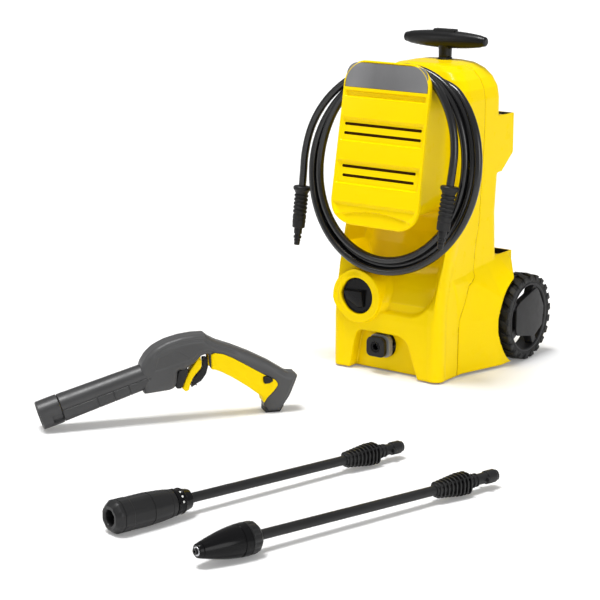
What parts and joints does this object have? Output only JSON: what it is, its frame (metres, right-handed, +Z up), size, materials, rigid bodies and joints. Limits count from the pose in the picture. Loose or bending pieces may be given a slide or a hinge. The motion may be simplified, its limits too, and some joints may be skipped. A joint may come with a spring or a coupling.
{
  "type": "pressure washer",
  "caption": "Upright electric pressure washer on wheels with a hose wound on its front holder, a trigger gun and a pair of spray lances.",
  "frame": {"origin": "on the floor, on the machine's centre plane, below its motor and pump", "axes": "+X to the right seen from the front, +Y to the back, +Z up"},
  "size_m": [0.7125, 1.1586, 0.5635],
  "materials": {
    "yellow_shell": "satin moulded",
    "yellow_grip": "satin soft grip",
    "black_plastic": "satin moulded",
    "graphite_plastic": "fine texture",
    "dark_plastic": "moulded",
    "grey_plastic": "moulded",
    "white_plastic": "moulded",
    "wheel_plastic": "moulded",
    "soft_black": "soft touch",
    "hose_rubber": "smooth",
    "brushed_badge": "brushed",
    "zinc_steel": "zinc plated",
    "aluminium": "die cast",
    "brass": "turned",
    "carbon": "pressed",
    "lamination": "stacked sheet",
    "copper_winding": "wound"
  },
  "bodies": {
    "machine": {"front_shell": "yellow_shell", "rear_shell": "yellow_shell", "front_panel": "yellow_shell", "badge_plate": "brushed_badge", "base_plate": "dark_plastic", "front_feet": "soft_black", "housing_screws": "zinc_steel", "mains_switch": "grey_plastic", "outlet_body": "grey_plastic", "outlet_pipe": "aluminium", "handle_guide": "dark_plastic", "axle": "zinc_steel", "axle_clips": "zinc_steel", "pump_housing": "aluminium", "pistons": "zinc_steel", "piston_springs": "zinc_steel", "cylinder_head": "aluminium", "head_bolts": "zinc_steel", "pressure_switch": "dark_plastic", "inlet_pipe": "dark_plastic", "water_inlet": "black_plastic", "inlet_filter": "grey_plastic", "cable_gland": "soft_black", "motor_case": "dark_plastic", "carbon_brushes": "carbon", "stator": "lamination", "motor_bearings": "zinc_steel", "capacitor": "grey_plastic", "hose_coil": "hose_rubber", "hose_tail_right": "hose_rubber", "hose_tail_left": "hose_rubber", "hose_grip_right": "soft_black", "hose_grip_left": "soft_black", "hose_nipple_right": "black_plastic", "hose_nipple_left": "black_plastic"},
    "switch": {"switch_knob": "black_plastic"},
    "outlet_button": {"outlet_release": "black_plastic"},
    "handle": {"handle_tube": "black_plastic", "handle_grip": "black_plastic"},
    "handle_latch": {"handle_button": "black_plastic"},
    "left_wheel": {"wheel_left": "wheel_plastic"},
    "right_wheel": {"wheel_right": "wheel_plastic"},
    "motor_rotor": {"rotor": "copper_winding", "fan": "white_plastic"},
    "pump_drive": {"drive_gear": "white_plastic", "swash_plate": "zinc_steel", "thrust_bearing": "zinc_steel"},
    "gun": {"gun_shell_left": "graphite_plastic", "gun_shell_right": "graphite_plastic", "gun_grip_insert": "yellow_grip", "gun_muzzle_ring": "black_plastic", "gun_valve": "brass"},
    "trigger": {"gun_trigger": "yellow_grip"},
    "trigger_lock": {"gun_lock": "black_plastic"},
    "gun_button": {"gun_release_button": "black_plastic"},
    "vario": {"vario_lance": "graphite_plastic"},
    "vario_nozzle": {"vario_head": "graphite_plastic"},
    "turbo": {"turbo_lance": "graphite_plastic", "turbo_head": "graphite_plastic"},
    "turbo_nozzle": {"turbo_rotor": "black_plastic"}
  },
  "joints": [
    {"name": "switch_turn", "type": "hinge", "parent": "machine", "child": "switch", "pos_m": [-0.0536, -0.142, 0.1296], "axis": [0, -1, 0], "range_deg": [0, 90]},
    {"name": "outlet_press", "type": "slide", "parent": "machine", "child": "outlet_button", "axis": [0, 1, 0], "range_m": [0, 0.004], "stiffness_N_per_m": 800},
    {"name": "handle_slide", "type": "slide", "parent": "machine", "child": "handle", "axis": [0, 0, 1], "range_m": [0, 0.113]},
    {"name": "handle_button_press", "type": "slide", "parent": "handle", "child": "handle_latch", "axis": [0, 0, -1], "range_m": [0, 0.004], "stiffness_N_per_m": 900},
    {"name": "wheel_left_spin", "type": "hinge", "parent": "machine", "child": "left_wheel", "pos_m": [-0.124, 0.094, 0.075], "axis": [1, 0, 0], "continuous": true},
    {"name": "wheel_right_spin", "type": "hinge", "parent": "machine", "child": "right_wheel", "pos_m": [0.124, 0.094, 0.075], "axis": [1, 0, 0], "continuous": true},
    {"name": "rotor_spin", "type": "hinge", "parent": "machine", "child": "motor_rotor", "pos_m": [0, -0.01477, 0.18], "axis": [0, 0, 1], "continuous": true},
    {"name": "pump_spin", "type": "hinge", "parent": "machine", "child": "pump_drive", "pos_m": [-0.015, -0.045, 0.12], "axis": [0, 0, 1], "continuous": true},
    {"name": "gun_lift", "type": "slide", "parent": "machine", "child": "gun", "axis": [0, 0, 1], "range_m": [0, 0.3]},
    {"name": "trigger_pull", "type": "hinge", "parent": "gun", "child": "trigger", "pos_m": [-0.10206, -0.50196, 0.1], "axis": [0.8027, -0.5964, 0], "range_deg": [0, 9], "stiffness_Nm_per_rad": 1.2},
    {"name": "lock_turn", "type": "hinge", "parent": "trigger", "child": "trigger_lock", "pos_m": [-0.0946, -0.49193, 0.092], "axis": [0.8027, -0.5964, 0], "range_deg": [0, 10]},
    {"name": "gun_button_press", "type": "slide", "parent": "gun", "child": "gun_button", "axis": [-0.8027, 0.5964, 0], "range_m": [0, 0.003], "stiffness_N_per_m": 800},
    {"name": "vario_lift", "type": "slide", "parent": "machine", "child": "vario", "axis": [0, 0, 1], "range_m": [0, 0.3]},
    {"name": "vario_twist", "type": "hinge", "parent": "vario", "child": "vario_nozzle", "pos_m": [0.1351, -0.9644, 0.0233], "axis": [0.2514, 0.9678, -0.0127], "range_deg": [0, 120]},
    {"name": "turbo_lift", "type": "slide", "parent": "machine", "child": "turbo", "axis": [0, 0, 1], "range_m": [0, 0.3]},
    {"name": "turbo_spin", "type": "hinge", "parent": "turbo", "child": "turbo_nozzle", "pos_m": [0.2978, -0.9884, 0.0229], "axis": [0.2772, 0.9607, -0.0115], "continuous": true}
  ],
  "couplings": [
    {"joint": "pump_spin", "follows": "rotor_spin", "ratio": -0.22727}
  ]
}
